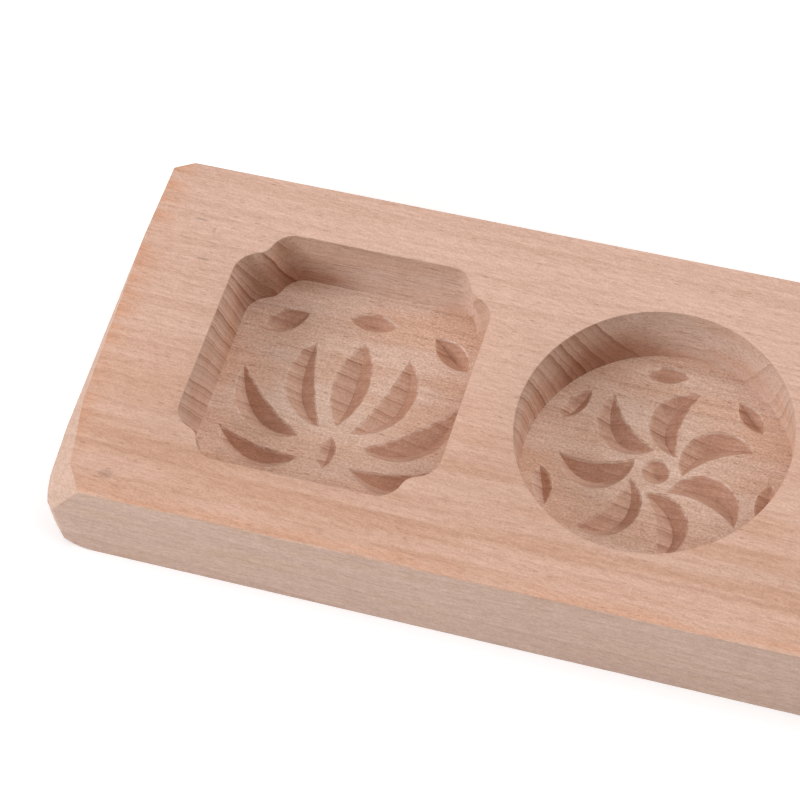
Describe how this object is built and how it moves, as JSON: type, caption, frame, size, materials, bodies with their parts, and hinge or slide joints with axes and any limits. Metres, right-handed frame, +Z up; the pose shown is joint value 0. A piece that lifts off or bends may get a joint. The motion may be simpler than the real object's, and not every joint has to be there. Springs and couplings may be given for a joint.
{
  "type": "mooncake mould board",
  "caption": "Long one-piece wooden mould board with alternating indented-square and round moulds, V-cut ornaments in their floors, and a handle with a hanging hole.",
  "frame": {"origin": "centre of the board's bounding box at its underside, on the surface that it lies on", "axes": "+X along the board from its plain end to the handle, +Y across it to the back, +Z up out of the moulds"},
  "size_m": [0.419, 0.089, 0.027],
  "materials": {
    "beech": "bare, fine sanded"
  },
  "bodies": {
    "root": {"mould_board": "beech"}
  },
  "joints": []
}
